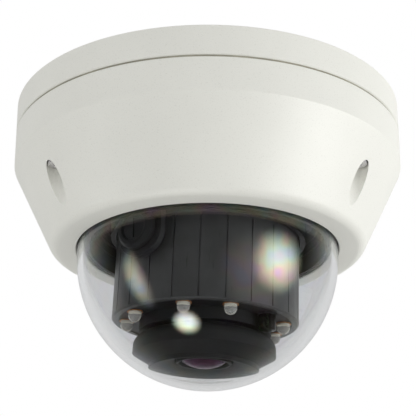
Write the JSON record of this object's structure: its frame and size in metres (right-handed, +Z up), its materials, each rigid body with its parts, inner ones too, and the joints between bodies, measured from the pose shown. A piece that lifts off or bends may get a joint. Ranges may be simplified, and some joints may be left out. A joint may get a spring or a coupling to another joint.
{
  "type": "dome cctv camera",
  "caption": "Ceiling dome security camera: round cast base and cover, clear bubble, and a pan, tilt and roll camera module with infrared LEDs and a hooded lens.",
  "frame": {"origin": "centre of the ceiling face, on the camera's vertical axis", "axes": "+Z points up into the ceiling; -Y is the front, on the side between the two front cover screws"},
  "size_m": [0.16, 0.16, 0.1175],
  "materials": {
    "cover_paint": "cream powder coat, fine texture",
    "seam_rubber": "matt olive-grey rubber",
    "black_rubber": "matt black rubber",
    "circuit_board": "green solder mask",
    "chip": "black epoxy",
    "thermal_pad": "soft blue-grey silicone",
    "ivory_plastic": "ivory nylon",
    "terminal_green": "green nylon",
    "tin_plate": "tinned steel sheet",
    "can_aluminium": "drawn aluminium",
    "brass": "turned brass",
    "dark_steel": "black painted steel",
    "black_plastic": "fine matt black",
    "drum_plastic": "satin charcoal",
    "screw_steel": "stainless steel",
    "retainer_metal": "plain cast aluminium",
    "clear_dome": "clear hard-coated polycarbonate",
    "led_epoxy": "clear epoxy",
    "copper_ring": "orange-brown copper",
    "sensor_tint": "dark green translucent plastic",
    "lens_metal": "black anodised",
    "lens_glass": "coated glass",
    "filter_glass": "infrared-cut and clear glass",
    "card_plastic": "black plastic card"
  },
  "bodies": {
    "base": {"base_casting": "cover_paint", "base_gasket": "seam_rubber", "cable_grommet": "black_rubber", "main_board": "circuit_board", "processor": "chip", "heat_pad": "thermal_pad", "memory_chips": "chip", "capacitors": "can_aluminium", "board_headers": "ivory_plastic", "ethernet_jack": "tin_plate", "terminal_block": "terminal_green", "power_connector": "ivory_plastic", "sd_slot": "tin_plate", "reset_switch": "tin_plate", "standoffs": "brass", "chassis_plate": "dark_steel", "chassis_screws": "screw_steel", "inner_liner": "black_plastic", "liner_screws": "screw_steel"},
    "cover": {"cover_shell": "cover_paint", "dome_bubble": "clear_dome", "dome_gasket": "black_rubber", "dome_retainer": "retainer_metal", "retainer_screws": "screw_steel", "cover_screws": "screw_steel", "screw_seals": "black_rubber"},
    "pan": {"turntable": "dark_steel", "pan_retainer": "retainer_metal", "pan_screws": "screw_steel", "knob_side_arm": "dark_steel", "pin_side_arm": "dark_steel", "pivot_pin": "screw_steel"},
    "tilt": {"cradle": "black_plastic", "thrust_washer": "ivory_plastic"},
    "module": {"rear_shell": "drum_plastic", "front_bezel": "drum_plastic", "bezel_screws": "screw_steel", "roll_retainer": "retainer_metal", "roll_screws": "screw_steel", "led_plate": "black_plastic", "led_board": "circuit_board", "led_screws": "screw_steel", "ir_leds": "led_epoxy", "led_rings": "copper_ring", "light_sensor": "sensor_tint", "lens_hood": "black_rubber", "lens_barrel": "lens_metal", "front_glass": "lens_glass", "inner_lenses": "lens_glass", "lens_holder": "black_plastic", "sensor_board": "circuit_board", "image_sensor": "chip", "board_screws": "screw_steel"},
    "knob": {"tilt_knob": "black_plastic"},
    "zoom": {"zoom_ring": "black_plastic"},
    "focus": {"focus_ring": "black_plastic"},
    "filter": {"ir_cut_slider": "black_plastic", "ir_filters": "filter_glass"},
    "button": {"reset_button": "black_plastic"},
    "card": {"sd_card": "card_plastic"}
  },
  "joints": [
    {"name": "cover_removal", "type": "slide", "parent": "base", "child": "cover", "axis": [0, 0, -1], "range_m": [0, 0.11]},
    {"name": "pan_turn", "type": "hinge", "parent": "base", "child": "pan", "pos_m": [0, 0, -0.0185], "axis": [0, 0, 1], "range_deg": [-177.5, 177.5]},
    {"name": "tilt_turn", "type": "hinge", "parent": "pan", "child": "tilt", "pos_m": [0, 0, -0.0644], "axis": [-0.6018, -0.7986, 0], "range_deg": [0, 57]},
    {"name": "roll_turn", "type": "hinge", "parent": "tilt", "child": "module", "pos_m": [0, 0, -0.0644], "axis": [0.0334, -0.0252, 0.9991], "range_deg": [-175, 175]},
    {"name": "knob_turn", "type": "hinge", "parent": "pan", "child": "knob", "pos_m": [-0.02708, -0.03594, -0.0644], "axis": [-0.6018, -0.7986, 0], "range_deg": [0, 270]},
    {"name": "zoom_turn", "type": "hinge", "parent": "module", "child": "zoom", "pos_m": [-0.00029, 0.00022, -0.07299], "axis": [0.0334, -0.0252, 0.9991], "range_deg": [-40, 40]},
    {"name": "focus_turn", "type": "hinge", "parent": "module", "child": "focus", "pos_m": [-0.00069, 0.00052, -0.08498], "axis": [0.0334, -0.0252, 0.9991], "range_deg": [-50, 50]},
    {"name": "filter_shift", "type": "slide", "parent": "module", "child": "filter", "axis": [0.9994, 0.0004, -0.0334], "range_m": [0, 0.006]},
    {"name": "reset_press", "type": "slide", "parent": "base", "child": "button", "axis": [0, 0, 1], "range_m": [0, 0.0004], "stiffness_N_per_m": 400, "springref_m": -0.001},
    {"name": "card_eject", "type": "slide", "parent": "base", "child": "card", "axis": [0, -1, 0], "range_m": [0, 0.012]}
  ]
}
